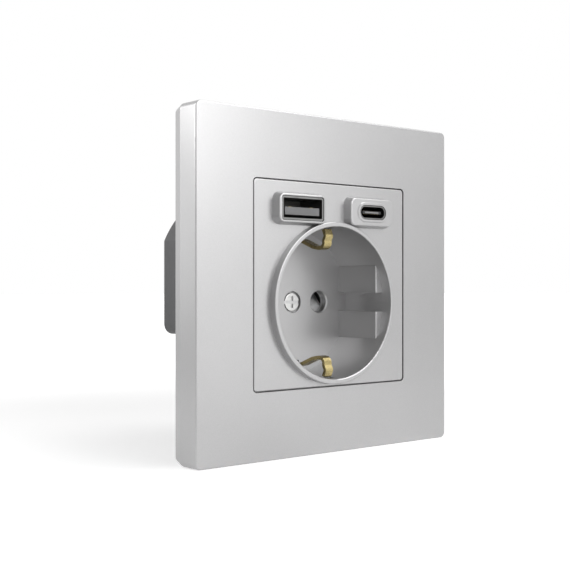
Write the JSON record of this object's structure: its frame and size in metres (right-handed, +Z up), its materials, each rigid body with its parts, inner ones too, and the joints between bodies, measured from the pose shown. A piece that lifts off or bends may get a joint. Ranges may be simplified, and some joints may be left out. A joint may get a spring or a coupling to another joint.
{
  "type": "usb wall socket",
  "caption": "Flush wall socket in a square silver frame, with an earthed round recess, USB-A and USB-C ports, support bracket and rear housing.",
  "frame": {"origin": "centre of the outer frame's rear face, on the wall plane, midway between the two box screws", "axes": "+X to the right seen from the front, +Y into the wall, +Z up"},
  "size_m": [0.086, 0.0436, 0.086],
  "materials": {
    "silver_plastic": "satin silver lacquer on moulded plastic",
    "bright_steel": "nickel-plated screw head",
    "brass": "plain",
    "earth_brass": "stamped spring brass",
    "grey_plastic": "moulded",
    "shutter_grey": "moulded",
    "spring_steel": "drawn wire",
    "shell_steel": "folded sheet",
    "port_grey": "moulded insulator",
    "port_black": "moulded insulator",
    "contact_gold": "gold-plated",
    "board_green": "solder mask",
    "ferrite": "sintered",
    "winding_tape": "tape over winding",
    "capacitor_sleeve": "shrink sleeve",
    "resistor_body": "lacquered",
    "zinc_steel": "zinc-plated",
    "housing_grey": "moulded, dark grey"
  },
  "bodies": {
    "socket": {"outer_frame": "silver_plastic", "centre_plate": "silver_plastic", "centre_screw": "bright_steel", "screw_bush": "brass", "shutter_cover": "grey_plastic", "shutter_springs": "spring_steel", "usb_a_shell": "shell_steel", "usb_a_insert": "port_grey", "usb_a_contacts": "contact_gold", "usb_c_shell": "shell_steel", "usb_c_insert": "port_black", "usb_c_contacts": "contact_gold", "port_board": "board_green", "board_link_pins": "contact_gold", "power_board": "board_green", "transformer_core": "ferrite", "transformer_winding": "winding_tape", "input_capacitors": "capacitor_sleeve", "output_capacitors": "capacitor_sleeve", "choke": "ferrite", "fuse_resistor": "resistor_body", "control_chips": "port_black", "support_bracket": "zinc_steel", "bracket_screws": "zinc_steel", "socket_base": "housing_grey", "rear_housing": "housing_grey", "housing_screws": "zinc_steel", "live_contact": "brass", "neutral_contact": "brass", "earth_strap": "earth_brass", "live_terminal": "brass", "neutral_terminal": "brass", "earth_terminal": "brass"},
    "shutter": {"shutter": "shutter_grey"},
    "live_screw": {"live_screw": "zinc_steel"},
    "neutral_screw": {"neutral_screw": "zinc_steel"},
    "earth_screw": {"earth_screw": "zinc_steel"}
  },
  "joints": [
    {"name": "shutter_slide", "type": "slide", "parent": "socket", "child": "shutter", "axis": [0, 0, -1], "range_m": [0, 0.0064], "stiffness_N_per_m": 60, "springref_m": -0.004, "deforming": ["shutter_springs"]},
    {"name": "live_screw_turn", "type": "hinge", "parent": "socket", "child": "live_screw", "pos_m": [-0.0115, 0.024, -0.0154], "axis": [0, 1, 0], "continuous": true},
    {"name": "neutral_screw_turn", "type": "hinge", "parent": "socket", "child": "neutral_screw", "pos_m": [0.0115, 0.024, -0.0154], "axis": [0, 1, 0], "continuous": true},
    {"name": "earth_screw_turn", "type": "hinge", "parent": "socket", "child": "earth_screw", "pos_m": [0, 0.024, -0.0154], "axis": [0, 1, 0], "continuous": true}
  ]
}
